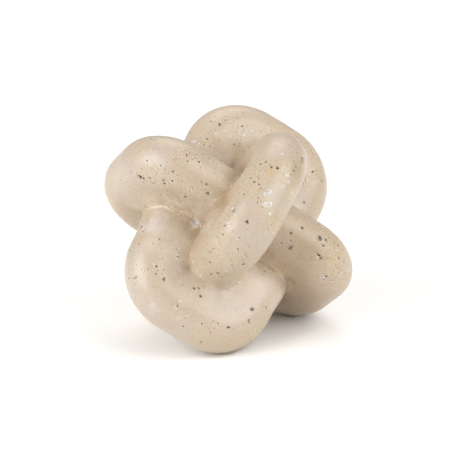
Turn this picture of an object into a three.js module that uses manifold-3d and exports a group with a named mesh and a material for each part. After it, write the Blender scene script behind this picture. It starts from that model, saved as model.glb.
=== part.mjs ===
// Knot sculpture: three identical closed rings of thick round tube, threaded through one another.
// Each ring passes through the hole of its neighbour, and no two of them are linked on their own.
// A closed ring can't be threaded, so each one is cast as two U-shaped halves. The halves meet
// inside the crossing that hides them, on a steel dowel in each leg.
// Units are millimetres, Z is up, and the origin is on the table below the middle of the knot.

import * as THREE from "three";
import { mergeVertices } from "three/addons/utils/BufferGeometryUtils.js";
import Module from "manifold-3d";

const wasm = await Module();
wasm.setup();

// Ring
const tubeDiameter = 27;
const innerBendRadius = 3.4; // round the inside of a corner
const sideBedding = 1.95; // how deep a leg beds into both sides of the ring that it passes through
const endBedding = 1.2; // how deep it beds into that ring's end
const beddingGap = 0.3; // left free between two rings where one beds into the other

// Fillet that a ring throws on to the leg that passes through it
const filletHeight = 5.2;
const filletReach = 15;

// Joint between the two halves of a ring
const jointGap = 0.3;
const dowelDiameter = 6;
const dowelLength = 36;
const dowelChamfer = 0.6;
const dowelGap = 0.3;

// Feet
const flatDepth = 1.4; // ground off the lowest corner of each ring
const padDiameter = 10;
const padThickness = 1.4;
const padGap = 0.3;

// Facets
const stepsRoundRing = 72;
const sidesOfTube = 20;
const sidesOfDowel = 16;
const sidesOfPad = 24;
const filletPasses = 12;

// Sizes that follow from those above
const tubeRadius = tubeDiameter / 2;
const bendRadius = tubeRadius + innerBendRadius; // of the centreline
const halfWidth = tubeDiameter - sideBedding; // middle of a ring to the centreline of a leg
const halfLength = halfWidth + tubeDiameter - endBedding; // and to the centreline of an end
const cornerX = halfLength - bendRadius; // middle of a bend
const cornerY = halfWidth - bendRadius;

// The three rings stand square to one another, each with one corner down. In a ring's own frame
// its length is along X, its width along Y, and straight up is the direction (1, 1, 1).
const lean = Math.atan(Math.SQRT2); // from the floor to the plane of a ring
const up = new THREE.Vector3(1, 1, 1).normalize();
const toGuest = new THREE.Quaternion().setFromAxisAngle(up, (-2 * Math.PI) / 3);
const fromGuest = toGuest.clone().invert();

const lowestPoint = new THREE.Vector3(-cornerX, -cornerY, 0)
  .add(new THREE.Vector3(-1, -1, 0).setLength(bendRadius))
  .addScaledVector(up, -tubeRadius);
const footTop = padThickness + padGap;
const centreHeight = footTop - flatDepth - lowestPoint.dot(up);

const castStone = new THREE.MeshStandardMaterial({
  color: "#d8c6a9",
  roughness: 0.62,
  metalness: 0,
});
const steel = new THREE.MeshStandardMaterial({
  color: "#a9adb0",
  roughness: 0.35,
  metalness: 1,
});
const felt = new THREE.MeshStandardMaterial({
  color: "#b3a38b",
  roughness: 0.95,
  metalness: 0,
});

// Centreline of a ring: a rectangle with round corners, from the middle of one leg and back.
class RingLine extends THREE.Curve {
  constructor() {
    super();
    const quarter = Math.PI / 2;
    this.outline = new THREE.Path();
    this.outline.moveTo(0, -halfWidth);
    this.outline.absarc(cornerX, -cornerY, bendRadius, -quarter, 0);
    this.outline.absarc(cornerX, cornerY, bendRadius, 0, quarter);
    this.outline.absarc(-cornerX, cornerY, bendRadius, quarter, 2 * quarter);
    this.outline.absarc(-cornerX, -cornerY, bendRadius, 2 * quarter, 3 * quarter);
    this.outline.closePath();
  }

  getPoint(t, target = new THREE.Vector3()) {
    const { x, y } = this.outline.getPoint(t);
    return target.set(x, y, 0);
  }
}

// Distance from a point in a ring's frame to the surface of the ring that passes through it.
function distanceToGuest(point) {
  const own = point.clone().applyQuaternion(fromGuest);
  const x = Math.abs(own.x) - cornerX;
  const y = Math.abs(own.y) - cornerY;
  const inPlane = Math.hypot(Math.max(x, 0), Math.max(y, 0)) + Math.min(Math.max(x, y), 0);
  return Math.hypot(inPlane - bendRadius, own.z) - tubeRadius;
}

// Fillet thickness at a distance from the guest: full height on it, and a hollow sweep down to
// nothing at its reach.
function filletAt(distance) {
  const share = THREE.MathUtils.clamp(1 - distance / filletReach, 0, 1);
  return filletHeight * share * share;
}

// Surface of a whole ring of a given tube radius, swollen by its fillets.
function ringGeometry(radius) {
  const geometry = new THREE.TubeGeometry(
    new RingLine(),
    stepsRoundRing,
    radius,
    sidesOfTube,
    true,
  );
  const { position, normal } = geometry.attributes;
  for (let i = 0; i < position.count; i++) {
    const plain = new THREE.Vector3().fromBufferAttribute(position, i);
    const outward = new THREE.Vector3().fromBufferAttribute(normal, i);
    const moved = plain.clone();
    for (let pass = 0; pass < filletPasses; pass++) {
      const height = filletAt(distanceToGuest(moved));
      moved.copy(plain).addScaledVector(outward, height);
    }
    position.setXYZ(i, moved.x, moved.y, moved.z);
  }
  return geometry;
}

// A closed geometry as a solid that can be cut.
function toSolid(geometry) {
  const bare = geometry.clone();
  bare.deleteAttribute("normal");
  bare.deleteAttribute("uv");
  const merged = mergeVertices(bare);
  return new wasm.Manifold(
    new wasm.Mesh({
      numProp: 3,
      vertProperties: merged.attributes.position.array,
      triVerts: new Uint32Array(merged.index.array),
    }),
  );
}

// A cut solid as a geometry with flat facets.
function toGeometry(solid) {
  const { vertProperties, triVerts } = solid.getMesh();
  const shared = new THREE.BufferGeometry();
  shared.setAttribute("position", new THREE.BufferAttribute(vertProperties, 3));
  shared.setIndex(new THREE.BufferAttribute(triVerts, 1));
  const faceted = shared.toNonIndexed();
  faceted.computeVertexNormals();
  return faceted;
}

// A block that covers everything on the far side of a ring's middle, past the joint's gap.
function blockBeyondJoint(side) {
  const size = 4 * halfLength;
  const block = new THREE.BoxGeometry(size, size, size);
  return toSolid(block.translate((side * (size + jointGap)) / 2, 0, 0));
}

// Round bar along X, centred on a leg.
function bar(radius, length, side) {
  const cylinder = new THREE.CylinderGeometry(radius, radius, length, sidesOfDowel);
  return cylinder.rotateZ(Math.PI / 2).translate(0, side * halfWidth, 0);
}

function dowelGeometry() {
  const radius = dowelDiameter / 2;
  const half = dowelLength / 2;
  const profile = [
    new THREE.Vector2(0, -half),
    new THREE.Vector2(radius - dowelChamfer, -half),
    new THREE.Vector2(radius, -half + dowelChamfer),
    new THREE.Vector2(radius, half - dowelChamfer),
    new THREE.Vector2(radius - dowelChamfer, half),
    new THREE.Vector2(0, half),
  ];
  return new THREE.LatheGeometry(profile, sidesOfDowel).rotateZ(Math.PI / 2);
}

// Where a ring stands, before it is turned to its place round the middle.
function standingGroup() {
  const group = new THREE.Group();
  group.position.z = centreHeight;
  group.rotation.set(lean, 0, Math.PI / 4);
  group.updateMatrix();
  return group;
}

// Everything below the ground flats, in a ring's own frame.
function blockBelowFlat() {
  const size = 4 * halfLength;
  const block = new THREE.BoxGeometry(size, size, size).translate(0, 0, footTop - size / 2);
  return toSolid(block.applyMatrix4(standingGroup().matrix.invert()));
}

// The whole ring, bedded on its guest's legs and bored for the dowels. All three are alike.
function ringSolid() {
  const guest = ringGeometry(tubeRadius + beddingGap).applyQuaternion(toGuest);
  let ring = toSolid(ringGeometry(tubeRadius)).subtract(toSolid(guest));
  for (const side of [-1, 1]) {
    const bore = bar(dowelDiameter / 2 + dowelGap, dowelLength + 2 * dowelGap, side);
    ring = ring.subtract(toSolid(bore));
  }
  return ring;
}

const ring = ringSolid();
const upperHalf = toGeometry(ring.intersect(blockBeyondJoint(1)));
const lowerHalf = toGeometry(ring.intersect(blockBeyondJoint(-1)).subtract(blockBelowFlat()));
const dowel = dowelGeometry();
const pad = new THREE.CylinderGeometry(
  padDiameter / 2,
  padDiameter / 2,
  padThickness,
  sidesOfPad,
).rotateX(Math.PI / 2);

function named(name, geometry, material) {
  const mesh = new THREE.Mesh(geometry, material);
  mesh.name = name;
  return mesh;
}

// One ring with its halves and dowels, and the pad under its lowest corner.
function ringGroup(place) {
  const leaning = standingGroup();
  leaning.add(named(`${place}_ring_upper_half`, upperHalf, castStone));
  leaning.add(named(`${place}_ring_lower_half`, lowerHalf, castStone));
  for (const [height, side] of [
    ["low", -1],
    ["high", 1],
  ]) {
    const pin = named(`${place}_ring_${height}_dowel`, dowel, steel);
    pin.position.y = side * halfWidth;
    leaning.add(pin);
  }
  const foot = named(`${place}_ring_foot_pad`, pad, felt);
  foot.position.copy(lowestPoint).applyMatrix4(leaning.matrix);
  foot.position.z = padThickness / 2;
  const group = new THREE.Group();
  group.add(leaning, foot);
  return group;
}

const sculpture = new THREE.Group();
["left", "front", "right"].forEach((place, index) => {
  const turned = ringGroup(place);
  turned.rotation.z = (-2 * Math.PI * index) / 3;
  sculpture.add(turned);
});

export default sculpture;
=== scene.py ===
"""Knot sculpture: three rings of cast stone threaded through one another, on felt pads.

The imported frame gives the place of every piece. This script makes the surface of each ring half
and each pad, gives them and the steel dowels their finish, and sets up a plain studio round them.
"""
import math

import bpy
import numpy as np
from mathutils import Matrix, Vector


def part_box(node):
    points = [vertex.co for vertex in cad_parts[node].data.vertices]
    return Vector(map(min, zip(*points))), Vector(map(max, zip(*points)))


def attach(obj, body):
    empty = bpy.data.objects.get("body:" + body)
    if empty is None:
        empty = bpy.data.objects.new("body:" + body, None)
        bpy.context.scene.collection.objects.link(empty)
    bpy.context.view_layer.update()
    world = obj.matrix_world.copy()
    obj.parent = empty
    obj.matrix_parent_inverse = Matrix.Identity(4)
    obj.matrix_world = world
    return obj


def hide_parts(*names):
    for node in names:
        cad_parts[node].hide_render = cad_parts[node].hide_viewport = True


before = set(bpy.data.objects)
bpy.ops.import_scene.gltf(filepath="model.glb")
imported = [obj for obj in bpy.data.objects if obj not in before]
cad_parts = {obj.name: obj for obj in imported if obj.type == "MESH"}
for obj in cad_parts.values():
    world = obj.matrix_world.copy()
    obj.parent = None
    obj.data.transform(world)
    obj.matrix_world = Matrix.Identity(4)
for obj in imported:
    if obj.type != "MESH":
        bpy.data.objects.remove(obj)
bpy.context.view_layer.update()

MM = 0.001

# Ring sizes in millimetres, as in the solids
TUBE_RADIUS = 13.5
INNER_BEND_RADIUS = 3.4
SIDE_BEDDING = 1.95
END_BEDDING = 1.2
FILLET_HEIGHT = 5.2
FILLET_REACH = 15.0
JOINT_GAP = 0.3
DOWEL_RADIUS = 3.0
DOWEL_LENGTH = 36.0
DOWEL_GAP = 0.3

BEND_RADIUS = TUBE_RADIUS + INNER_BEND_RADIUS
HALF_WIDTH = 2 * TUBE_RADIUS - SIDE_BEDDING
HALF_LENGTH = HALF_WIDTH + 2 * TUBE_RADIUS - END_BEDDING
CORNER = np.array([HALF_LENGTH - BEND_RADIUS, HALF_WIDTH - BEND_RADIUS])

# The rings in the order in which each one lets the next one through its hole
RINGS = ("left", "front", "right")
LEAN = math.atan(math.sqrt(2))
RING_TURN = -2 * math.pi / 3

# Grid of a ring half: about 0.36 mm between points
ROWS = 380
COLUMNS = 240
PAD_SIDES = 64

# Finish of the casting where two rings meet, in millimetres
BLEND = 2.0
JUNCTION_FILL = 3.0
JUNCTION_REACH = 6.0
BEDDING_DEPTH = 0.8
HIDDEN_DEPTH = 0.3
SEAM_WIDTH = 0.9
# How far from another ring the painted shade of the crevices reaches
PAINTED_CREVICE_SHADE_REACH = 10.0

# Soft lumps of the skin: size across and height in millimetres, and seed
LUMPS = ((24.0, 0.3, 1), (9.0, 0.105, 2), (2.5, 0.04, 3))

# Passes that bring a point to the finished surface, and the share of the way that each one goes:
# first without the lumps and then with them
COARSE_PASSES, COARSE_SHARE = 14, 0.8
FINE_PASSES, FINE_SHARE = 3, 0.9
FINE_MARGIN = 1.0
SLOPE_STEP = 0.05

# Random fields repeat after this many cells, far outside the object
LATTICE = 64

# Where a ring was filled out by hand, or rubbed down, before its neighbour was bedded in it,
# read off the photograph: middle in the part's frame, reach and height, all in millimetres
HAND_FILLING = {
    "left": [
        ((-39.0, 11.5, 64.0), 7.0, 1.4),
        ((-33.6, 1.0, 70.2), 5.0, -0.3),
        ((10.0, -28.6, 33.0), 10.0, 1.3),
        ((13.0, -26.5, 22.5), 7.0, 1.2),
    ],
    "front": [((-16.5, -29.0, 34.0), 7.0, 1.3)],
    "right": [((-34.0, 2.5, 71.0), 5.0, 1.2)],
}

# Camera, matched to the photograph: degrees, millimetres and pixels
CAMERA_AZIMUTH = -27.91
CAMERA_ELEVATION = 19.26
CAMERA_ROLL = -2.82
CAMERA_DISTANCE = 1370.0
PHOTO_SIZE = 460
CENTRE_ON_PHOTO = np.array([227.65, 227.0])
MM_PER_PIXEL = 0.4885
SENSOR = 36.0
CLIP_END = 100.0

# Studio: each square lamp's turn aside of the camera (0 is behind it and 90 to its right) and
# elevation in degrees, distance and size in millimetres and power in watts, and the floor in metres
SOFT_BOXES = {
    "left_soft_box": (-64, 28, 1300, 1000, 15.1),
    "right_soft_box": (60, 34, 1300, 1100, 13.1),
    "back_soft_box": (172, 55, 1500, 1000, 6),
}
SURROUND_STRENGTH = 0.47
FLOOR_SIZE = 12

# Like the wear below, painted shade, painted light and painted highlights are kept as spots.
# Wear is kept as spots. Those that stand out in the photograph were read off it, each as
# pixels across and down and a radius in millimetres. Below, first open pinholes.
PINHOLES = {
    "left lobe": [
        (139.7, 178.0, 1.2), (143.2, 179.2, 0.6), (137.3, 177.0, 0.6), (172.5, 172.5, 0.7),
        (163.3, 181.0, 0.6), (163.7, 184.3, 0.6), (187.8, 154.7, 0.7), (200.0, 161.2, 0.6),
        (207.5, 185.2, 0.6), (208.3, 194.4, 0.8), (185.3, 197.5, 0.6), (153.0, 184.5, 0.5),
    ],
    "top lobe": [
        (220.5, 124.2, 0.7), (210.0, 120.0, 0.5), (268.0, 134.0, 0.7), (205.0, 143.3, 0.6),
        (323.0, 180.5, 0.7), (313.3, 171.3, 0.6), (305.0, 202.2, 0.8),
    ],
    "front bar": [
        (303.2, 158.3, 0.8), (303.4, 161.2, 0.8), (297.0, 166.5, 0.5), (295.0, 170.3, 0.7),
        (278.3, 167.0, 0.8), (270.8, 165.8, 0.6), (265.0, 161.4, 0.6), (260.3, 162.8, 0.7),
        (253.3, 180.8, 0.6), (250.0, 176.7, 0.5), (259.0, 197.0, 0.6), (233.0, 209.5, 0.8),
        (246.7, 222.5, 1.0), (223.3, 225.3, 0.7), (213.2, 249.0, 0.6), (209.0, 262.5, 0.6),
        (210.0, 275.0, 0.6), (218.0, 274.3, 0.9), (222.5, 278.0, 0.6), (244.0, 265.0, 0.8),
    ],
    "right lobe": [
        (321.0, 237.8, 1.4), (326.7, 239.5, 0.9), (324.0, 245.0, 0.6), (319.5, 255.0, 0.8),
        (321.6, 259.0, 0.9), (290.0, 248.4, 0.9), (291.6, 233.0, 0.7), (302.8, 227.0, 0.7),
        (339.3, 244.5, 0.6), (340.0, 258.0, 0.6),
    ],
    "lower loop": [
        (140.8, 226.0, 0.7), (142.3, 229.7, 0.7), (156.5, 265.5, 0.6), (164.5, 278.3, 0.8),
        (195.3, 287.0, 0.9), (201.7, 295.5, 0.8), (134.8, 278.0, 0.6), (128.2, 278.7, 0.6),
        (178.0, 307.0, 0.6), (252.6, 308.3, 1.0), (250.0, 321.0, 0.7), (228.8, 328.3, 0.8),
        (201.3, 343.3, 0.7),
    ],
}

# Broken grains of white marble
MARBLE_CHIPS = {
    "left lobe": [
        (132.5, 186.0, 0.8), (201.5, 162.0, 0.7), (211.5, 160.8, 0.9), (192.5, 140.8, 1.1),
    ],
    "top lobe": [
        (198.0, 143.5, 0.8), (216.0, 132.5, 0.8), (231.7, 135.0, 0.8), (252.0, 131.0, 0.8),
        (307.0, 178.0, 0.7),
    ],
    "where three rings meet": [
        (194.5, 223.0, 1.9), (199.5, 221.5, 1.3), (191.5, 216.5, 1.0), (203.5, 229.5, 1.0),
        (208.0, 231.0, 1.0),
    ],
    "rim of the left leg's cap": [
        (164.0, 204.5, 0.8), (171.0, 207.0, 0.6), (181.5, 212.5, 0.8), (186.5, 215.0, 0.6),
    ],
    "lower end of the bar": [
        (189.5, 254.0, 0.6), (192.0, 262.0, 0.7), (196.5, 271.5, 0.7), (201.0, 276.0, 0.6),
    ],
    "front bar": [
        (267.0, 193.0, 1.3), (271.0, 190.8, 1.0), (265.8, 203.3, 1.2), (270.8, 204.8, 1.1),
        (271.0, 214.2, 0.9), (231.3, 207.6, 0.9), (234.6, 212.0, 0.8), (227.6, 224.0, 0.9),
        (289.0, 175.0, 0.9), (289.0, 181.5, 0.8), (285.0, 186.0, 0.7), (281.7, 153.3, 0.8),
        (225.2, 271.6, 0.8),
    ],
    "right lobe": [
        (349.4, 270.0, 1.0), (323.0, 239.5, 0.9), (318.6, 257.8, 0.8), (322.0, 278.0, 1.0),
    ],
    "lower loop": [
        (154.6, 264.5, 0.9), (138.2, 260.8, 0.7), (178.5, 257.5, 1.1), (180.3, 268.0, 1.0),
        (176.8, 308.4, 0.8), (181.0, 300.8, 0.7), (285.0, 283.5, 0.9), (287.0, 287.0, 0.7),
        (240.2, 282.8, 0.9), (233.5, 288.0, 0.8), (258.6, 261.8, 0.8), (202.2, 344.0, 0.7),
    ],
}

# Where dark grains lie close together
GRAIN_CROWDS = {
    "left lobe": [
        (166.0, 182.0, 7.0), (148.0, 180.0, 5.0), (187.0, 153.0, 5.0), (158.0, 152.0, 5.0),
        (206.0, 190.0, 4.0), (152.0, 142.0, 4.0), (175.0, 160.0, 4.0), (133.0, 186.0, 4.0),
        (181.0, 183.0, 4.0), (165.0, 193.0, 4.0), (204.0, 162.0, 4.0), (192.0, 196.0, 3.5),
    ],
    "top lobe": [(206.0, 142.0, 4.0), (238.0, 134.0, 4.0), (268.0, 120.0, 3.0)],
    "front bar": [
        (264.0, 162.0, 5.0), (300.0, 158.0, 4.0), (252.0, 180.0, 4.0), (236.0, 206.0, 4.0),
        (222.0, 225.0, 3.5), (208.0, 256.0, 4.5), (216.0, 274.0, 6.0), (242.0, 265.0, 4.0),
        (226.0, 259.0, 4.0), (245.0, 254.0, 4.0),
    ],
    "right lobe": [
        (323.0, 240.0, 4.0), (320.0, 257.0, 4.5), (290.0, 245.0, 4.0), (322.0, 278.0, 4.0),
        (342.0, 256.0, 3.5),
    ],
    "lower loop": [
        (134.0, 278.0, 3.0), (158.0, 268.0, 3.0), (200.0, 290.0, 3.0), (240.0, 325.0, 3.0),
    ],
}

# Pale patches of painted light that lift the shade near the crossings
PAINTED_LIGHT_PATCHES = {
    "where three rings meet": [(196.0, 222.0, 5.0)],
    "left lobe": [(152.0, 201.0, 5.0)],
    "left leg": [(152.0, 243.0, 4.0), (158.0, 229.0, 4.0)],
    "front bar": [(207.0, 226.0, 3.0)],
    "left lobe's right end": [(224.0, 167.0, 4.0)],
    "lower loop": [
        (262.0, 284.0, 6.0), (226.0, 290.0, 6.0), (211.0, 289.0, 5.0), (178.0, 264.0, 6.0),
        (189.0, 275.0, 7.0), (275.0, 284.0, 5.0), (280.0, 298.0, 6.0), (256.0, 267.0, 6.0),
    ],
}

# Patches of painted shade: a browner colour where the stone lies in shade, under the bar and in
# hollows
PAINTED_SHADE_PATCHES = {
    "left lobe's lower edge": [(176.0, 199.0, 5.0), (190.0, 204.0, 5.0)],
    "top lobe's inner side": [
        (226.0, 150.0, 5.0), (231.0, 160.0, 3.0), (240.0, 169.0, 3.0), (236.0, 178.0, 4.0),
    ],
    "right lobe": [
        (284.0, 248.0, 9.0), (302.0, 256.0, 9.0), (294.0, 270.0, 8.0), (302.0, 298.0, 11.0),
        (270.0, 257.0, 5.0), (283.0, 267.0, 6.0),
    ],
    "left leg": [(186.0, 228.0, 3.0)],
    "front bar": [(237.0, 211.0, 4.0), (300.0, 172.0, 5.0), (222.0, 285.0, 3.0)],
}

# Patches of painted highlight: a greyer, whiter tone where the soft boxes' highlights fall
PAINTED_HIGHLIGHT_PATCHES = {
    "left lobe": [(158.0, 151.0, 7.0), (124.0, 168.0, 8.0), (118.0, 186.0, 7.0)],
    "cap of the left leg": [(157.0, 221.0, 6.0)],
    "lower loop": [
        (128.0, 262.0, 7.0), (133.0, 290.0, 7.0), (148.0, 312.0, 7.0), (173.0, 333.0, 7.0),
        (230.0, 306.0, 8.0), (251.0, 305.0, 6.0),
    ],
    "front bar": [
        (243.0, 207.0, 4.0), (244.0, 236.0, 6.0), (253.0, 222.0, 5.0), (277.0, 195.0, 5.0),
        (303.0, 196.0, 4.0), (260.0, 242.0, 5.0), (276.0, 150.0, 4.0),
    ],
}

# Yellow stains round grains that hold iron
IRON_STAINS = {
    "left lobe": [(165.0, 142.0, 1.8)],
    "front bar": [(279.0, 149.0, 1.4), (272.0, 171.0, 1.6), (284.0, 163.0, 1.2)],
    "right lobe": [(337.0, 263.0, 1.5)],
}

# Streaks of slurry left on the skin. The second spot on the lower loop is painted light that lifts
# the shade under the bar's lower end.
SLURRY_AND_PAINTED_LIGHT = {
    "cap of the left leg": [(156.0, 218.0, 6.0), (150.0, 224.0, 4.0), (165.0, 214.0, 4.0)],
    "left lobe's lower edge": [
        (186.0, 205.0, 5.0), (198.0, 211.0, 6.0), (176.0, 203.0, 5.0), (212.0, 207.0, 4.0),
    ],
    "lower loop": [(151.0, 308.0, 3.0), (229.0, 293.0, 3.5)],
}

# Thin ridges of slurry squeezed out of a crossing: places along each on the photograph, and half
# its width in millimetres
RIDGES = {
    "lower loop's right end": (
        [
            (258.0, 260.5), (263.0, 261.5), (269.0, 264.0), (276.5, 270.0), (284.0, 278.0),
            (287.5, 284.0),
        ],
        0.5,
    ),
    "rim of the left leg's cap": (
        [
            (143.0, 211.5), (145.0, 208.5), (150.0, 206.5), (158.0, 205.5), (164.0, 205.5),
            (170.0, 208.0), (177.0, 212.0),
        ],
        0.35,
    ),
}

# Every kind of wear, and the painted shade, painted light and painted highlights: the places that
# show, how many more are scattered over each ring half where the photograph doesn't show it,
# their typical radius in millimetres and their seed
WEAR = {
    "pinhole": (PINHOLES, 46, 0.5, 21),
    "chip": (MARBLE_CHIPS, 34, 0.8, 22),
    "crowd": (GRAIN_CROWDS, 5, 4.0, 23),
    "painted_light": (PAINTED_LIGHT_PATCHES, 2, 5.0, 24),
    "painted_shade": (PAINTED_SHADE_PATCHES, 2, 6.0, 26),
    "painted_highlight": (PAINTED_HIGHLIGHT_PATCHES, 3, 6.0, 28),
    "stain": (IRON_STAINS, 3, 1.5, 27),
    "slurry_and_painted_light": (SLURRY_AND_PAINTED_LIGHT, 3, 4.0, 25),
}

# Scattered spots: how far a place may face the camera and how much less a large spot may, for
# each millimetre, how strongly spots gather in clusters, the size and seed of those, and how much
# radii differ
FACING_LIMIT = 0.12
FACING_LIMIT_PER_MM = 0.1
CLUSTERING = 2.2
CLUSTER_SIZE = 15
CLUSTER_SEED = 11
RADIUS_SPREAD = 0.3

# Spots whose middle lies further outside a ring half's box than this don't touch it, in millimetres
SPOT_MARGIN = 10

# Relief of the wear: how close to a spot it starts and is full, and its height in millimetres
RELIEF = {"chip": (0.4, 0.7, 0.1), "pinhole": (0.4, 0.8, -0.6), "ridge": (0.0, 0.9, 0.2)}

# Straw and rose tone of the stone of each ring, and how strongly its sand shows
BATCHES = {
    "left": ("#b8a78b", "#b7a696", 0.25),
    "front": ("#b4a387", "#b3a291", 0.40),
    "right": ("#b4a286", "#b3a190", 0.38),
}

# Each kind of grain in the stone: spacing, largest radius and offset in millimetres, colour and
# how strongly it shows. Each dark kind is drawn over a slightly larger pale kind of the same
# pattern, shifted a little to one side.
GRAINS = (
    (3.6, 0.42, 0.0, "#d8d6d4", 0.6),
    (6.0, 0.60, 0.0, "#cf9f63", 0.45),
    (1.4, 0.44, 0.2, "#ded6ca", 0.55),
    (1.4, 0.42, 0.0, "#50402c", 0.9),
    (3.9, 0.72, 0.3, "#d4d0cc", 0.7),
    (3.9, 0.66, 0.0, "#2e2013", 1.0),
)

# Marks that the mesh carries, from the deepest to the topmost: name, how far a fine noise shifts
# them, where they start and how soon they are full, colour and how strongly they show. A broken
# grain of marble is white in places and dark in others.
MARKS = (
    # Painted shade: a warm, darker tint near where rings meet
    ("painted_crevice_shade", 0.0, 0.0, 1.0, "#ab8a5c", 0.42),
    # Painted shade: browner patches where the stone lies in shade
    ("painted_shade", 0.6, 0.05, 0.8, "#957a5a", 0.42),
    # Painted light: pale patches that lift the shade near crossings
    ("painted_light", 0.6, 0.05, 0.8, "#e2d5c8", 0.3),
    # Painted highlight: a greyer, whiter tone where highlights fall
    ("painted_highlight", 0.6, 0.05, 0.8, "#b2a8a3", 0.4),
    ("stain", 1.5, 0.1, 0.8, "#c2a05c", 0.35),
    ("seam", 3.0, 0.80, 0.6, "#e6dccd", 0.6),
    ("ridge", 0.8, 0.35, 0.4, "#d2c6b4", 0.4),
    ("chip", 2.5, 0.50, 0.2, "#d0d2d4", 0.65),
    ("chip", -2.5, 0.90, 0.2, "#5c4a35", 0.9),
    ("pinhole", 2.5, 0.58, 0.2, "#3e2b18", 1.0),
)

# The colour sockets of a Mix node
UNDER, OVER, MIXED = 6, 7, 2


def box_of(node):
    """A node's lowest and highest corners in millimetres."""
    return np.array(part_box(node)) / MM


DOWELS = [f"{ring}_ring_{height}_dowel" for ring in RINGS for height in ("low", "high")]
KNOT_CENTRE = np.mean([box_of(name) for name in DOWELS], axis=(0, 1))
FLAT_HEIGHT = float(box_of("left_ring_lower_half")[0][2])


def turned_to(azimuth, elevation):
    """The rotation of something that faces the knot from an azimuth and an elevation in degrees."""
    turn = Matrix.Rotation(math.radians(azimuth), 3, "Z")
    return turn @ Matrix.Rotation(math.radians(90 - elevation), 3, "X")


CAMERA_TILT = Matrix.Rotation(math.radians(CAMERA_ROLL), 3, "Z")
CAMERA_AIM = turned_to(CAMERA_AZIMUTH, CAMERA_ELEVATION) @ CAMERA_TILT


def on_photo(points):
    """Where points of the part fall on the photograph, in pixels, and how far along the view."""
    seen = (points - KNOT_CENTRE) @ np.array(CAMERA_AIM)
    away = CAMERA_DISTANCE - seen[..., 2]
    scale = CAMERA_DISTANCE / MM_PER_PIXEL / away
    return CENTRE_ON_PHOTO + seen[..., :2] * [1, -1] * scale[..., None], away


def ring_matrix(index):
    """From a ring's own frame, with its length along X and its width along Y, to the part's."""
    lean = Matrix.Rotation(LEAN, 3, "X") @ Matrix.Rotation(math.pi / 4, 3, "Z")
    return np.array(Matrix.Rotation(RING_TURN * index, 3, "Z") @ lean)


def cloud(points, size, seed):
    """A smooth random field from -1 to 1.

    Random values lie on a cubic lattice with the given spacing, and each point blends the eight
    values round it by the smoothstep of its place in the cell.
    """
    values = np.random.default_rng(seed).uniform(-1, 1, (LATTICE, LATTICE, LATTICE))
    cell = points / size
    low = np.floor(cell).astype(int)
    share = cell - low
    share = share * share * (3 - 2 * share)
    total = np.zeros(points.shape[:-1])
    for corner in np.ndindex(2, 2, 2):
        weight = np.where(corner, share, 1 - share).prod(-1)
        at = (low + corner) % LATTICE
        total += weight * values[at[..., 0], at[..., 1], at[..., 2]]
    return total


def smoothstep(values, low, high):
    """0 up to low, 1 from high on, and between them 3t^2 - 2t^3 of the share t of the way."""
    share = np.clip((values - low) / (high - low), 0, 1)
    return share * share * (3 - 2 * share)


def half_ring_line(distance):
    """Points and outward directions along half a ring's centreline, from one joint to the other.

    The line runs along a leg, round a quarter circle, along the end, round a quarter circle and
    back along the other leg. The corner centres move along straight lines while the outward angle
    turns from -90 to 90 degrees, and the point lies one bend radius out from them.
    """
    leg = CORNER[0] - JOINT_GAP / 2
    arc = BEND_RADIUS * math.pi / 2
    end = 2 * CORNER[1]
    stations = np.cumsum([0, leg, arc, end, arc, leg])
    at = distance * stations[-1]
    x = np.interp(at, stations, [JOINT_GAP / 2] + [CORNER[0]] * 4 + [JOINT_GAP / 2])
    y = np.interp(at, stations, [-CORNER[1]] * 3 + [CORNER[1]] * 3)
    angle = np.radians(np.interp(at, stations, [-90, -90, 0, 0, 90, 90]))
    outward = np.stack([np.cos(angle), np.sin(angle), np.zeros_like(angle)], -1)
    middle = np.stack([x, y, np.zeros_like(x)], -1) + BEND_RADIUS * outward
    return middle, outward


def tube_distance(points):
    """Distance from points in a ring's own frame to that ring's plain tube.

    In the plane it is the distance to the rounded rectangle of the centreline, and with the height
    off the plane it gives the distance to the line, less the tube's radius.
    """
    over = np.abs(points[..., :2]) - CORNER
    beyond = np.linalg.norm(np.maximum(over, 0), axis=-1)
    in_plane = beyond + np.minimum(over.max(-1), 0) - BEND_RADIUS
    return np.hypot(in_plane, points[..., 2]) - TUBE_RADIUS


def guest_frame(points):
    """Points in a ring's own frame as seen in the frame of its guest, which passes through it."""
    return points[..., [2, 0, 1]]


def host_frame(points):
    """Points in a ring's own frame as seen in the frame of its host, which it passes through."""
    return points[..., [1, 2, 0]]


def fillet(distance):
    """Thickness of the fillet at a distance from the ring that it leads on to.

    It is a parabola: the fillet's height times the square of the share of its reach that is left.
    """
    return FILLET_HEIGHT * np.clip(1 - distance / FILLET_REACH, 0, 1) ** 2


def hand_filling(ring_index, place):
    """Thickness that a ring has gained by hand at places in the part's frame.

    Each filled place is a bell: its height times e to the minus square of the distance over its
    reach.
    """
    total = np.zeros(place.shape[:-1])
    for middle, reach, height in HAND_FILLING[RINGS[ring_index % len(RINGS)]]:
        total += height * np.exp(-((place - middle) ** 2).sum(-1) / reach ** 2)
    return total


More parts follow.
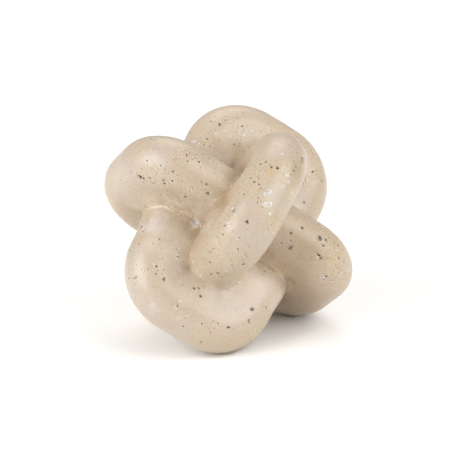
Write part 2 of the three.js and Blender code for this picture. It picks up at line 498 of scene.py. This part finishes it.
def skins(points, ring_index):
    """Heights of points in a ring's frame over its finished surface and over those of the others.

    Each ring's tube is swollen by a fillet towards its guest, the ring that passes through its
    hole. Where two swollen surfaces come within the blend of each other, both rise by a quarter of
    the blend times the square of how near they are, so that they meet on one smooth surface. Where
    all three come together the rises add up, and slurry that has gathered there raises them
    further. The values are the height over the ring's own surface, over its guest's and over the
    nearer of guest and host, and how near a point is to where three rings meet: 1 in the middle of
    it and 0 at its reach.
    """
    place = points @ ring_matrix(ring_index).T + KNOT_CENTRE
    own = tube_distance(points) - hand_filling(ring_index, place)
    guest = tube_distance(guest_frame(points)) - hand_filling(ring_index + 1, place)
    host = tube_distance(host_frame(points)) - hand_filling(ring_index + 2, place)
    own, guest, host = own - fillet(guest), guest - fillet(host), host - fillet(own)
    to_guest = np.abs(own - guest)
    to_host = np.abs(own - host)
    rise = sum(BLEND / 4 * np.clip(1 - apart / BLEND, 0, 1) ** 2 for apart in (to_guest, to_host))
    junction = np.clip(1 - np.maximum(to_guest, to_host) / JUNCTION_REACH, 0, 1)
    rise += JUNCTION_FILL * junction ** 2
    return own - rise, guest - rise, np.minimum(guest, host) - rise, junction


def slope(field, points):
    """The direction in which a field grows fastest, from its differences over a short step."""
    steps = SLOPE_STEP * np.eye(3)
    grown = np.stack([field(points + step) - field(points - step) for step in steps], -1)
    return grown / np.linalg.norm(grown, axis=-1, keepdims=True)


class HalfRing:
    """One ring half as a grid of points, worked out in the ring's own frame."""

    def __init__(self, ring_index, side):
        self.ring_index = ring_index
        self.side = side
        self.matrix = ring_matrix(ring_index)
        middle, outward = half_ring_line(np.linspace(0, 1, ROWS))
        angle = np.linspace(0, 2 * math.pi, COLUMNS, endpoint=False)[:, None]
        radial = outward[:, None] * np.cos(angle) + [0, 0, 1] * np.sin(angle)
        turn = np.array([side, side, 1.0])
        self.radial = radial * turn
        self.outward = self.radial @ self.matrix.T
        self.plain = middle[:, None] * turn + TUBE_RADIUS * self.radial
        self.raise_surface()

    def to_part(self, points):
        """Points in the ring's own frame as places in the part's frame."""
        return points @ self.matrix.T + KNOT_CENTRE

    def raise_surface(self):
        """Moves each point of the tube out along its radius until it lies on the finished surface.

        Each pass goes most of the height that a point still has over that surface. The lumps come
        in with the last passes. A point deep inside the guest is then moved out, straight away from
        the guest's tube, until it lies just the bedding's depth below the guest's surface.
        """
        height = np.zeros(self.plain.shape[:2])
        most = FILLET_HEIGHT + BLEND / 2 + JUNCTION_FILL
        for _ in range(COARSE_PASSES):
            own = skins(self.plain + self.radial * height[..., None], self.ring_index)[0]
            height = np.clip(height - COARSE_SHARE * own, 0, most)
        for _ in range(FINE_PASSES):
            points = self.plain + self.radial * height[..., None]
            own = skins(points, self.ring_index)[0]
            place = self.to_part(points)
            lumps = sum(rise * cloud(place, size, seed) for size, rise, seed in LUMPS)
            height = np.minimum(height - FINE_SHARE * (own - lumps), most + FINE_MARGIN)
        points = self.plain + self.radial * height[..., None]
        own, guest, other, junction = skins(points, self.ring_index)
        too_deep = np.maximum(-BEDDING_DEPTH - guest, 0)[..., None]
        points = points + too_deep * slope(lambda at: tube_distance(guest_frame(at)), points)
        self.place = self.to_part(points)
        self.hidden = other < -HIDDEN_DEPTH
        # Painted shade near the crevices: 1 where another ring's surface meets this one, falling to
        # 0 at the reach
        self.painted_crevice_shade = np.clip(1 - np.maximum(other, 0) / PAINTED_CREVICE_SHADE_REACH, 0, 1) ** 2
        self.seam = np.exp(-((own - other) / SEAM_WIDTH) ** 2) * (1 - junction)


def seen_spots(groups, halves):
    """Middles on the surface, and radii, of spots given by their place on the photograph.

    Of the grid points that fall within a pixel of the place, the nearest to the camera is taken.
    """
    places = np.concatenate([half.place.reshape(-1, 3) for half in halves])
    pixels, away = on_photo(places)
    middles, radii = [], []
    for group in groups.values():
        for across, down, radius in group:
            close = np.abs(pixels - [across, down]).max(-1) < 1
            middles.append(places[np.where(close, away, np.inf).argmin()])
            radii.append(radius)
    return np.array(middles), np.array(radii)


def unseen_spots(half, count, typical, seed):
    """Middles and radii of spots scattered over a ring half where the camera doesn't see.

    They gather in clusters: a place's chance is e to the power of a random field times a factor.
    """
    rng = np.random.default_rng([seed, half.ring_index, half.side + 1])
    to_camera = np.array(CAMERA_AIM)[:, 2]
    turned_away = half.outward @ to_camera < FACING_LIMIT - FACING_LIMIT_PER_MM * typical
    chance = np.exp(CLUSTERING * cloud(half.place, CLUSTER_SIZE, CLUSTER_SEED))
    chance = chance * turned_away * ~half.hidden
    chosen = rng.choice(chance.size, count, replace=False, p=chance.ravel() / chance.sum())
    radii = typical * rng.lognormal(0, RADIUS_SPREAD, count)
    return half.place.reshape(-1, 3)[chosen], radii


def beads(ridges):
    """Spots set close together along each ridge, about one for each pixel of the photograph."""
    strings = {}
    for name, (line, radius) in ridges.items():
        across, down = np.transpose(line)
        travelled = np.concatenate([[0], np.cumsum(np.hypot(np.diff(across), np.diff(down)))])
        at = np.linspace(0, travelled[-1], int(travelled[-1]) + 1)
        places = zip(np.interp(at, travelled, across), np.interp(at, travelled, down))
        strings[name] = [(*place, radius) for place in places]
    return strings


def all_spots(halves):
    """Middles and radii of the spots of each kind of wear and of painted shade, light and
    highlights, those that show first.
    """
    spots = {}
    for kind, (groups, count, typical, seed) in WEAR.items():
        lists = [seen_spots(groups, halves)]
        lists += [unseen_spots(half, count, typical, seed) for half in halves]
        spots[kind] = [np.concatenate(parts) for parts in zip(*lists)]
    spots["ridge"] = seen_spots(beads(RIDGES), halves)
    return spots


def closeness(place, spots):
    """How near each point is to a spot: 1 in its middle, falling evenly to 0 at two radii."""
    nearest = np.zeros(place.shape[:-1])
    low = place.min((0, 1)) - SPOT_MARGIN
    high = place.max((0, 1)) + SPOT_MARGIN
    for middle, radius in zip(*spots):
        if np.all(middle > low) and np.all(middle < high):
            apart = np.linalg.norm(place - middle, axis=-1)
            nearest = np.maximum(nearest, 1 - apart / (2 * radius))
    return nearest


def closed_faces(rows, columns):
    """Corners of the faces on a grid whose columns close on themselves, and where each starts.

    A quad joins each point to its neighbours in its own row and in the next one, and a flat face
    closes each end.
    """
    at = np.arange(rows * columns).reshape(rows, columns)
    beside = np.roll(at, -1, axis=1)
    quads = np.stack([at[:-1], beside[:-1], beside[1:], at[1:]], -1).ravel()
    corners = np.concatenate([quads, at[0, ::-1], at[-1]])
    starts = np.concatenate([np.arange(0, quads.size, 4), [quads.size, quads.size + columns]])
    return corners.astype(np.int32), starts.astype(np.int32)


def make_piece(name, rows, material, node, marks=None):
    """A smooth closed piece from rows of points in millimetres, in place of a node."""
    corners, starts = closed_faces(*rows.shape[:2])
    mesh = bpy.data.meshes.new(name)
    mesh.vertices.add(rows.shape[0] * rows.shape[1])
    mesh.vertices.foreach_set("co", (rows * MM).astype(np.float32).ravel())
    mesh.loops.add(len(corners))
    mesh.loops.foreach_set("vertex_index", corners)
    mesh.polygons.add(len(starts))
    mesh.polygons.foreach_set("loop_start", starts)
    for key, values in (marks or {}).items():
        layer = mesh.attributes.new(key, "FLOAT", "POINT")
        layer.data.foreach_set("value", values.astype(np.float32).ravel())
    mesh.update(calc_edges=True)
    mesh.validate()
    mesh.shade_smooth()
    mesh.materials.append(material)
    piece = bpy.data.objects.new(name, mesh)
    bpy.context.collection.objects.link(piece)
    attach(piece, "root")
    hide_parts(node)


def joint_rows(half, leg):
    """Rows that lead into a dowel's bore from the flat face of a joint: its mouth and its floor."""
    angle = np.linspace(0, 2 * math.pi, COLUMNS, endpoint=False)
    outward = np.stack([0 * angle, leg * np.cos(angle), np.sin(angle)], -1) * [1, half.side, 1]
    middle = np.array([half.side * JOINT_GAP / 2, leg * half.side * HALF_WIDTH, 0])
    mouth = middle + (DOWEL_RADIUS + DOWEL_GAP) * outward
    depth = (DOWEL_LENGTH + 2 * DOWEL_GAP - JOINT_GAP) / 2 * half.side * np.array([1, 0, 0])
    return half.to_part(np.stack([mouth, mouth + depth]))


def make_half_ring(half, spots, material):
    """One ring half as a piece: worn, bored for its dowels and ground flat at its lowest corner."""
    marks = {kind: closeness(half.place, places) for kind, places in spots.items()}
    relief = sum(
        height * smoothstep(marks[kind], start, full)
        for kind, (start, full, height) in RELIEF.items()
    )
    surface = half.place + half.outward * relief[..., None]
    rows = np.concatenate([joint_rows(half, 1)[::-1], surface[::-1], joint_rows(half, -1)])
    rows[..., 2] = np.maximum(rows[..., 2], FLAT_HEIGHT)
    marks |= {"seam": half.seam, "painted_crevice_shade": half.painted_crevice_shade}
    bare = np.zeros((2, COLUMNS))
    marks = {key: np.concatenate([bare, values[::-1], bare]) for key, values in marks.items()}
    level = "upper" if half.side > 0 else "lower"
    name = f"{RINGS[half.ring_index]}_ring_{level}"
    make_piece(f"{name}_casting", rows, material, f"{name}_half", marks)


def make_foot_pad(node, material):
    """A felt disc: a profile turned about the upright axis, flat below, with soft edges."""
    low, high = box_of(node)
    radius = (high[0] - low[0]) / 2
    thickness = high[2] - low[2]
    lower_edge, upper_edge, upper_corner = 0.15, 0.35, 0.12
    profile = np.array([
        [radius / 2, 0],
        [radius - lower_edge, 0],
        [radius, lower_edge],
        [radius, thickness - upper_edge],
        [radius - upper_corner, thickness - upper_corner],
        [radius - upper_edge, thickness],
        [radius / 2, thickness],
    ])
    angle = np.linspace(0, 2 * math.pi, PAD_SIDES, endpoint=False)
    across, up = profile[:, :1], profile[:, 1:]
    rows = np.stack([across * np.cos(angle), across * np.sin(angle), up + 0 * angle], -1)
    rows += [*(low + high)[:2] / 2, low[2]]
    make_piece(node.replace("foot_pad", "felt_pad"), rows, material, node)


def srgb(code):
    """An sRGB hex colour such as #d8c6a9 as linear red, green, blue and alpha."""
    coded = [int(code[at:at + 2], 16) / 255 for at in (1, 3, 5)]
    linear = [one / 12.92 if one <= 0.04045 else ((one + 0.055) / 1.055) ** 2.4 for one in coded]
    return (*linear, 1.0)


def add(tree, kind, inputs=None, **settings):
    """Adds a node. inputs maps its sockets to values or other nodes' outputs.

    settings are the node's own.
    """
    node = tree.nodes.new(kind)
    for key, value in settings.items():
        setattr(node, key, value)
    for key, value in (inputs or {}).items():
        if isinstance(value, bpy.types.NodeSocket):
            tree.links.new(value, node.inputs[key])
        else:
            node.inputs[key].default_value = value
    return node


def per_mm(size):
    """The texture scale that makes one cell of a pattern that many millimetres wide."""
    return 1 / (size * MM)


def new_material(name):
    """A material without nodes, and its node tree."""
    material = bpy.data.materials.new(name)
    material.use_nodes = True
    tree = material.node_tree
    tree.nodes.clear()
    return material, tree


def cast_stone(ring):
    """Cast stone: pale cement with sand and marble grit, cast in a smooth mould and waxed.

    The eye gets a satin beige skin with soft highlights. It drifts between straw and rose, each
    ring is a batch of its own shade, and all are dusted with dark and white grains. Pinholes are
    brown inside, and pale slurry marks the seams. Shade is painted in near the crossings and in
    browner patches, light in pale patches, and highlights in greyer patches.
    """
    material, tree = new_material(f"waxed_cast_stone_of_{ring}_ring")
    straw, rose, sand = BATCHES[ring]
    place = add(tree, "ShaderNodeTexCoord").outputs["Object"]

    # The skin: a slow drift of tone, mottled cement, and sand that is just large enough to show
    drift = add(
        tree, "ShaderNodeTexNoise", {"Vector": place, "Scale": per_mm(30), "Detail": 2.0},
    )
    skin = add(
        tree, "ShaderNodeMix",
        {"Factor": drift.outputs["Fac"], UNDER: srgb(straw), OVER: srgb(rose)},
        data_type="RGBA",
    )
    mottle = add(
        tree, "ShaderNodeTexNoise",
        {"Vector": place, "Scale": per_mm(4), "Detail": 5.0, "Roughness": 0.65},
    )
    mottled = add(
        tree, "ShaderNodeMix",
        {"Factor": 0.12, UNDER: skin.outputs[MIXED], OVER: mottle.outputs["Color"]},
        data_type="RGBA", blend_type="SOFT_LIGHT",
    )
    grit = add(
        tree, "ShaderNodeTexNoise", {"Vector": place, "Scale": per_mm(0.9), "Detail": 3.0},
    )
    sandy = add(
        tree, "ShaderNodeMix",
        {"Factor": sand, UNDER: mottled.outputs[MIXED], OVER: grit.outputs["Fac"]},
        data_type="RGBA", blend_type="SOFT_LIGHT",
    )
    colour = sandy.outputs[MIXED]

    # Slurry wiped along the skin in wisps, mostly where the mesh says that some was left; one of
    # its spots paints light into the shade under the bar's lower end
    streaks = add(
        tree, "ShaderNodeMapping",
        {"Vector": place, "Scale": (1.0, 3.0, 3.0), "Rotation": (0.3, 0.5, 0.2)},
    )
    wisps = add(
        tree, "ShaderNodeTexNoise",
        {
            "Vector": streaks.outputs[0], "Scale": per_mm(16), "Detail": 6.0, "Roughness": 0.6,
            "Distortion": 1.2,
        },
    )
    slurry_and_painted_light = add(tree, "ShaderNodeAttribute", attribute_name="slurry_and_painted_light")
    wiped = add(
        tree, "ShaderNodeMath", {0: slurry_and_painted_light.outputs["Fac"], 1: 0.3, 2: wisps.outputs["Fac"]},
        operation="MULTIPLY_ADD",
    )
    film = add(
        tree, "ShaderNodeMapRange",
        {"Value": wiped.outputs[0], "From Min": 0.60, "From Max": 0.84, "To Max": 0.45},
    )
    colour = add(
        tree, "ShaderNodeMix", {"Factor": film.outputs[0], UNDER: colour, OVER: srgb("#e4dcd6")},
        data_type="RGBA",
    ).outputs[MIXED]

    # Grains: the cells of a pattern whose edges are shaken by up to half a millimetre. They are
    # more frequent in slow drifts of their own and where the mesh says that they crowd together.
    jitter = add(
        tree, "ShaderNodeTexNoise", {"Vector": place, "Scale": per_mm(0.7), "Detail": 1.0},
    )
    shaken = add(
        tree, "ShaderNodeVectorMath",
        {0: jitter.outputs["Color"], 1: (0.5 * MM, 0.5 * MM, 0.5 * MM), 2: place},
        operation="MULTIPLY_ADD",
    )
    crowd = add(
        tree, "ShaderNodeTexNoise", {"Vector": place, "Scale": per_mm(13), "Detail": 1.0},
    )
    gathered = add(tree, "ShaderNodeAttribute", attribute_name="crowd")
    crowded = add(
        tree, "ShaderNodeMath", {0: gathered.outputs["Fac"], 1: 0.36, 2: crowd.outputs["Fac"]},
        operation="MULTIPLY_ADD",
    )
    rarity = add(
        tree, "ShaderNodeMapRange",
        {
            "Value": crowded.outputs[0], "From Min": 0.40, "From Max": 0.78,
            "To Min": 0.97, "To Max": 0.0,
        },
    )
    for spacing, radius, offset, tint, strength in GRAINS:
        beside = add(
            tree, "ShaderNodeVectorMath",
            {0: shaken.outputs[0], 1: (offset * MM, -offset * MM, offset * MM)},
            operation="ADD",
        )
        cells = add(
            tree, "ShaderNodeTexVoronoi",
            {"Vector": beside.outputs[0], "Scale": per_mm(spacing)},
        )
        chance = add(tree, "ShaderNodeSeparateColor", {0: cells.outputs["Color"]})
        size = add(
            tree, "ShaderNodeMapRange",
            {
                "Value": chance.outputs[0], "From Min": rarity.outputs[0],
                "To Max": (radius / spacing) ** 2,
            },
        )
        reach = add(tree, "ShaderNodeMath", {0: size.outputs[0], 1: 0.5}, operation="POWER")
        inside = add(
            tree, "ShaderNodeMapRange",
            {
                "Value": cells.outputs["Distance"], "From Min": reach.outputs[0],
                "From Max": 0.0, "To Max": 3.0,
            },
        )
        shown = add(
            tree, "ShaderNodeMath", {0: inside.outputs[0], 1: 1.0}, operation="MINIMUM",
        )
        shown = add(
            tree, "ShaderNodeMath", {0: shown.outputs[0], 1: strength}, operation="MULTIPLY",
        )
        colour = add(
            tree, "ShaderNodeMix", {"Factor": shown.outputs[0], UNDER: colour, OVER: srgb(tint)},
            data_type="RGBA",
        ).outputs[MIXED]

    # Marks that the mesh carries, painted shade, light and highlights among them, their edges made
    # ragged by a fine noise round a half
    broken = add(
        tree, "ShaderNodeTexNoise",
        {"Vector": place, "Scale": per_mm(0.8), "Detail": 3.0, "Roughness": 0.7},
    )
    for key, sway, start, ramp, tint, strength in MARKS:
        mark = add(tree, "ShaderNodeAttribute", attribute_name=key)
        shifted = add(
            tree, "ShaderNodeMath", {0: broken.outputs["Fac"], 1: sway, 2: mark.outputs["Fac"]},
            operation="MULTIPLY_ADD",
        )
        start += sway / 2
        share = add(
            tree, "ShaderNodeMapRange",
            {
                "Value": shifted.outputs[0], "From Min": start, "From Max": start + ramp,
                "To Max": strength,
            },
        )
        colour = add(
            tree, "ShaderNodeMix", {"Factor": share.outputs[0], UNDER: colour, OVER: srgb(tint)},
            data_type="RGBA",
        ).outputs[MIXED]

    bump = add(
        tree, "ShaderNodeBump",
        {"Height": grit.outputs["Fac"], "Strength": 0.6, "Distance": 0.06 * MM},
    )
    rough = add(
        tree, "ShaderNodeMapRange",
        {
            "Value": mottle.outputs["Fac"], "From Min": 0.3, "From Max": 0.7,
            "To Min": 0.28, "To Max": 0.40,
        },
    )
    shader = add(
        tree, "ShaderNodeBsdfPrincipled",
        {
            "Base Color": colour, "Roughness": rough.outputs[0], "Normal": bump.outputs[0],
            "IOR": 1.52, "Sheen Weight": 0.10, "Sheen Roughness": 0.4,
        },
    )
    add(tree, "ShaderNodeOutputMaterial", {"Surface": shader.outputs[0]})
    return material


def pressed_felt():
    """Pressed wool felt: matt, with short fibres that lie every way and shade painted into the
    hollows between them.
    """
    material, tree = new_material("pressed_felt")
    place = add(tree, "ShaderNodeTexCoord").outputs["Object"]
    fibres = add(
        tree, "ShaderNodeTexNoise",
        {"Vector": place, "Scale": per_mm(0.6), "Detail": 5.0, "Distortion": 1.5},
    )
    # Painted shade: the colour follows the bump's noise, darker where the bump sinks
    colour = add(
        tree, "ShaderNodeMix",
        {"Factor": fibres.outputs["Fac"], UNDER: srgb("#8d7f6a"), OVER: srgb("#c0b29b")},
        data_type="RGBA",
    )
    bump = add(
        tree, "ShaderNodeBump", {"Height": fibres.outputs["Fac"], "Distance": 0.2 * MM},
    )
    shader = add(
        tree, "ShaderNodeBsdfPrincipled",
        {
            "Base Color": colour.outputs[MIXED], "Roughness": 0.95, "Normal": bump.outputs[0],
            "Sheen Weight": 0.3,
        },
    )
    add(tree, "ShaderNodeOutputMaterial", {"Surface": shader.outputs[0]})
    return material


def drawn_steel():
    """Drawn stainless bar: bright, with a fine grain that softens what it mirrors."""
    material, tree = new_material("drawn_stainless_steel")
    place = add(tree, "ShaderNodeTexCoord").outputs["Object"]
    grain = add(
        tree, "ShaderNodeTexNoise", {"Vector": place, "Scale": per_mm(0.5), "Detail": 2.0},
    )
    rough = add(
        tree, "ShaderNodeMapRange",
        {"Value": grain.outputs["Fac"], "To Min": 0.25, "To Max": 0.45},
    )
    shader = add(
        tree, "ShaderNodeBsdfPrincipled",
        {"Base Color": srgb("#b4b7b9"), "Metallic": 1.0, "Roughness": rough.outputs[0]},
    )
    add(tree, "ShaderNodeOutputMaterial", {"Surface": shader.outputs[0]})
    return material


def white_card():
    """White card: matt and even, so that the eye gets only the object's soft shadow."""
    material, tree = new_material("white_card")
    shader = add(
        tree, "ShaderNodeBsdfPrincipled", {"Base Color": srgb("#fcfcfb"), "Roughness": 0.9},
    )
    add(tree, "ShaderNodeOutputMaterial", {"Surface": shader.outputs[0]})
    return material


def face_knot(thing, aim, distance):
    """Puts a camera or a lamp at a distance in millimetres from the knot's middle, facing it."""
    bpy.context.collection.objects.link(thing)
    middle = Matrix.Translation(Vector(KNOT_CENTRE * MM))
    thing.matrix_world = middle @ aim.to_4x4() @ Matrix.Translation((0, 0, distance * MM))


def make_camera():
    """A long lens at the distance that the photograph's perspective gives."""
    data = bpy.data.cameras.new("camera")
    data.sensor_width = SENSOR
    data.lens = SENSOR * CAMERA_DISTANCE / (MM_PER_PIXEL * PHOTO_SIZE)
    data.shift_x = 0.5 - CENTRE_ON_PHOTO[0] / PHOTO_SIZE
    data.shift_y = CENTRE_ON_PHOTO[1] / PHOTO_SIZE - 0.5
    data.clip_end = CLIP_END
    camera = bpy.data.objects.new("camera", data)
    face_knot(camera, CAMERA_AIM, CAMERA_DISTANCE)
    bpy.context.scene.camera = camera


def make_studio():
    """A white floor, soft boxes beside and behind the camera's view, and an even white surround."""
    bpy.ops.mesh.primitive_plane_add(size=FLOOR_SIZE)
    floor = bpy.context.object
    floor.name = "floor"
    floor.data.materials.append(white_card())

    for name, (aside, elevation, distance, size, power) in SOFT_BOXES.items():
        light = bpy.data.lights.new(name, "AREA")
        light.size = size * MM
        light.energy = power
        aim = turned_to(CAMERA_AZIMUTH + aside, elevation)
        face_knot(bpy.data.objects.new(name, light), aim, distance)

    world = bpy.data.worlds.new("studio")
    world.use_nodes = True
    bpy.context.scene.world = world
    background = world.node_tree.nodes["Background"]
    background.inputs["Color"].default_value = srgb("#fffefc")
    background.inputs["Strength"].default_value = SURROUND_STRENGTH
    bpy.context.scene.view_settings.view_transform = "Standard"


make_camera()
make_studio()

halves = [HalfRing(ring_index, side) for ring_index in range(len(RINGS)) for side in (-1, 1)]
spots = all_spots(halves)
stone = [cast_stone(ring) for ring in RINGS]
for half in halves:
    make_half_ring(half, spots, stone[half.ring_index])

felt = pressed_felt()
for ring in RINGS:
    make_foot_pad(f"{ring}_ring_foot_pad", felt)

steel = drawn_steel()
for name in DOWELS:
    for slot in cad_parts[name].material_slots:
        slot.material = steel
